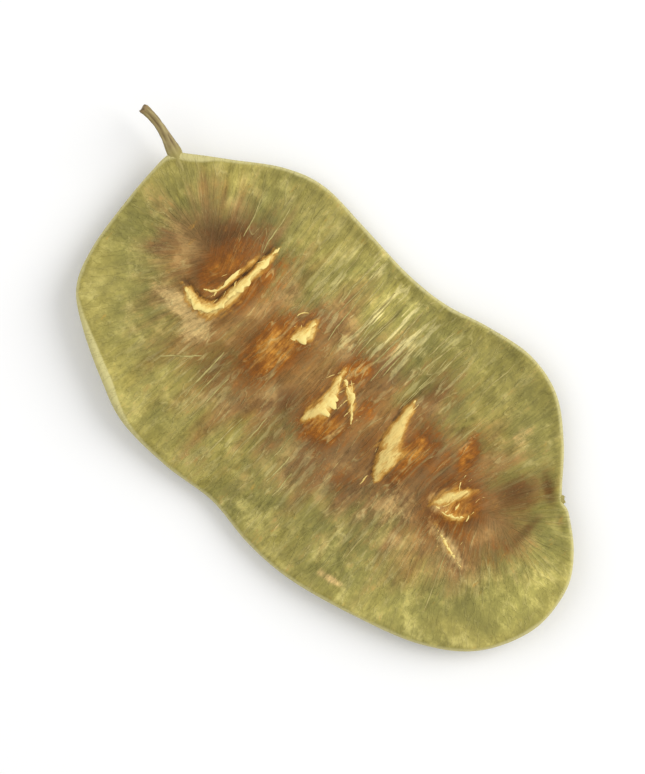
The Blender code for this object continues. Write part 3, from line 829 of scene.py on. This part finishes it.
def raisedFibres(material):  # lays a thin flattened cord on the skin along each route
    tree, given, last = newShape("raisedFibres", fibres["shape"])
    paths = evenPath(tree, given)
    wander = scaled(tree, push(tree, scaled(tree, place(tree), 1 / mm), 0.5), given["Wander"])
    paths = shifted(tree, paths, wander)
    hit, normal = onSkin(tree, read(tree, "face"))
    paths = keep(tree, paths, "away", normal, "FLOAT_VECTOR")
    paths = keep(tree, placed(tree, paths, hit), "root", place(tree), "FLOAT_VECTOR")
    cord = sweep(tree, paths, ring(tree, fibres["sideSteps"]), read(tree, "radius"))
    away = read(tree, "away", "FLOAT_VECTOR")
    out = moved(tree, place(tree), scaled(tree, read(tree, "root", "FLOAT_VECTOR"), -1.0))
    rise = add(tree, "ShaderNodeVectorMath", {0: out, 1: away}, operation="DOT_PRODUCT").outputs["Value"]
    lower = calc(tree, "MULTIPLY", rise, calc(tree, "SUBTRACT", given["Flatness"], 1.0))
    lower = calc(tree, "SUBTRACT", lower, calc(tree, "MULTIPLY", read(tree, "radius"), given["Sink"]))
    endShape(tree, last, shifted(tree, cord, scaled(tree, away, lower)), material)
    return tree


def fibreRoutes():  # route, face and radius, most along the rays from the seed line to the edge
    draw = np.random.default_rng(fibres["seed"])
    thin, thick = fibres["radii"]
    found = [(route, 1, thick) for route in fibres["plainest"]]
    for low, high, half, face, count in fibres["groups"]:
        for _ in range(count):
            start, direction = rayFrom(draw.uniform(low, high), half, draw.normal(0, fibres["turn"]))
            reach = reachOfRay(start, direction) - fibres["fromEdge"]
            length, nearest = draw.uniform(*fibres["lengths"]), fibres["fromSeedLine"]
            first = draw.uniform(nearest, max(reach - length, nearest + fibres["leastPlay"]))
            stops = (first, first + length / 2, min(first + length, reach))
            route = [start + direction * stop for stop in stops]
            found.append((route, face, thin + (thick - thin) * draw.random() ** 2))
    return found


def buildFibres():
    lines, face, radius = [], [], []
    bulge = np.sin(math.pi * np.linspace(0.03, 0.97, fibres["points"])) ** 0.4  # thin at both ends
    level = np.full(fibres["points"], fibres["level"])
    for route, side, size in fibreRoutes():
        line = smoothOpenCurve(route, fibres["points"])
        lines.append(np.stack([*line.T, level], axis=1))
        face += [side] * len(line)
        radius += list(size * mm * bulge)
    points, edges = linked(lines)
    made = newPiece("paleFibres", toFrame(points), edges=edges, face=face, radius=radius)
    shapeBy(made, raisedFibres(fibreMaterial()), fibres["shape"])
    return made


handIn(buildFibres())


# Stalk and style point
stalk = {
    "shape": {"Ridge rise": 0.3 * mm, "Step": 0.06 * mm, "Break": 0.25 * mm},
    "points": 80, "ringSteps": 28,
    "ridgeNoise": (2.4, 4.0, 0.6), "ridgeDrift": 1.2,
    "breakNoise": (5.0, 3.0), "breakFrom": 0.97, "breakWay": (-3.0, 0.0, 1.0),
    "skin": tint(150, 132, 84), "ridge": tint(188, 172, 118),
    "hollow": tint(112, 92, 54), "base": tint(166, 154, 84), "break": tint(146, 122, 80),
    "greenTo": {"stalk": 0.45, "style": 3.0},  # share of the length by which the pod's green has faded
}


def stalkMaterial():
    material, tree, shader = newMaterial("stalkFibre")
    inMm, ridges, share = objectInMm(tree), mark(tree, "ridges"), mark(tree, "share")
    patches = noise(tree, inMm, 1.4, 4.0, 0.6)
    colour = layered(tree, stalk["hollow"], (
        (ridges, 0.35, 0.55, 1.0, stalk["skin"]), (ridges, 0.5, 0.7, 0.8, stalk["ridge"]),
        (patches, 0.5, 0.75, 0.5, stalk["hollow"]), (share, 0.95, 0.99, 1.0, stalk["break"]),
    ))
    green = span(tree, calc(tree, "DIVIDE", share, mark(tree, "greenTo")), 0.45, 1.0, 0.85, 0.0)
    colour = blend(tree, green, colour, stalk["base"])
    height = calc(tree, "MULTIPLY_ADD", noise(tree, inMm, 6.0, 4.0, 0.7), 0.5, ridges)
    endMaterial(tree, shader, colour, height, 0.6, 0.08 * mm, 0.7)
    return material


def fibrousRod(material):  # sweeps a ring along the route, raises ridges along it and roughens its broken end
    tree, given, last = newShape("fibrousRod", stalk["shape"])
    path = add(tree, "GeometryNodeSetCurveNormal", {0: evenPath(tree, given)}, mode="Z_UP").outputs[0]
    path = keep(tree, path, "share", add(tree, "GeometryNodeSplineParameter").outputs["Factor"])
    profile = keep(tree, ring(tree, stalk["ringSteps"]), "round", place(tree), "FLOAT_VECTOR")
    rod = sweep(tree, path, profile, read(tree, "radius"))
    slow = upward(tree, calc(tree, "MULTIPLY", read(tree, "share"), stalk["ridgeDrift"]))
    roundIt = moved(tree, read(tree, "round", "FLOAT_VECTOR"), slow)
    rod = keep(tree, rod, "ridges", noise(tree, roundIt, *stalk["ridgeNoise"]))
    rise = calc(tree, "MULTIPLY", offMiddle(tree, read(tree, "ridges")), given["Ridge rise"])
    rod = shifted(tree, rod, scaled(tree, add(tree, "GeometryNodeInputNormal").outputs[0], rise))
    jag = offMiddle(tree, noise(tree, scaled(tree, place(tree), 1 / mm), *stalk["breakNoise"]))
    atEnd = span(tree, read(tree, "share"), stalk["breakFrom"], 1.0)
    jag = calc(tree, "MULTIPLY", jag, calc(tree, "MULTIPLY", atEnd, given["Break"]))
    endShape(tree, last, shifted(tree, rod, scaled(tree, stalk["breakWay"], jag)), material)
    return tree


def buildRod(name, route, tree):
    line = smoothOpenCurve(route, stalk["points"])
    x, y, rise, radius = line.T
    points = np.stack([x, y, middleHeight(x, y) + rise], axis=1)
    greenTo = np.full(len(line), stalk["greenTo"][name])
    made = newPiece(name, toFrame(points), edges=linked([points])[1], radius=radius * mm, greenTo=greenTo)
    shapeBy(made, tree, stalk["shape"])
    return made


rodTree = fibrousRod(stalkMaterial())
for rodName in ("stalk", "style"):
    handIn(buildRod(rodName, pod[rodName], rodTree))


# Floor, light and camera
studio = {
    "floorSide": 1.2, "floor": (0.97, 0.97, 0.965, 1.0), "sky": (1.0, 1.0, 1.0, 1.0), "skyStrength": 0.6,
    "turn": 43.4, "lens": 120, "clipStart": 0.01, "camera": (0.0, 0.0, 0.185),
    "lights": (  # place, side and power
        ((0.22, 0.40, 0.40), 0.5, 2.2),
        ((-0.3, -0.1, 0.5), 0.5, 0.6),
    ),
}


def buildFloor():
    half = studio["floorSide"] / 2
    corners = [(-half, -half, 0), (half, -half, 0), (half, half, 0), (-half, half, 0)]
    material, tree, shader = newMaterial("floorPaper")
    fill(tree, shader, {"Base Color": studio["floor"], "Roughness": 0.9, "Specular IOR Level": 0.1})
    made = newPiece("floor", corners, [(0, 1, 2, 3)])
    made.data.materials.append(material)


def buildLight(number, spot, side, power):
    lamp = bpy.data.lights.new(f"light{number}", "AREA")
    lamp.shape, lamp.size, lamp.energy = "DISK", side, power
    made = bpy.data.objects.new(lamp.name, lamp)
    made.location = spot
    made.rotation_mode = "QUATERNION"
    made.rotation_quaternion = made.location.to_track_quat("Z", "Y")
    bpy.context.scene.collection.objects.link(made)


def buildCamera():
    made = bpy.data.objects.new("camera", bpy.data.cameras.new("camera"))
    made.data.lens = studio["lens"]
    made.data.clip_start = studio["clipStart"]
    made.location = studio["camera"]
    made.rotation_euler = (0, 0, math.radians(studio["turn"]))
    bpy.context.scene.collection.objects.link(made)
    bpy.context.scene.camera = made


def buildStudio():
    scene = bpy.context.scene
    world = scene.world or bpy.data.worlds.new("sky")
    scene.world = world
    world.use_nodes = True
    sky = world.node_tree.nodes["Background"]
    sky.inputs["Color"].default_value = studio["sky"]
    sky.inputs["Strength"].default_value = studio["skyStrength"]
    scene.view_settings.view_transform = "Standard"
    buildFloor()
    for number, light in enumerate(studio["lights"]):
        buildLight(number, *light)
    buildCamera()


buildStudio()
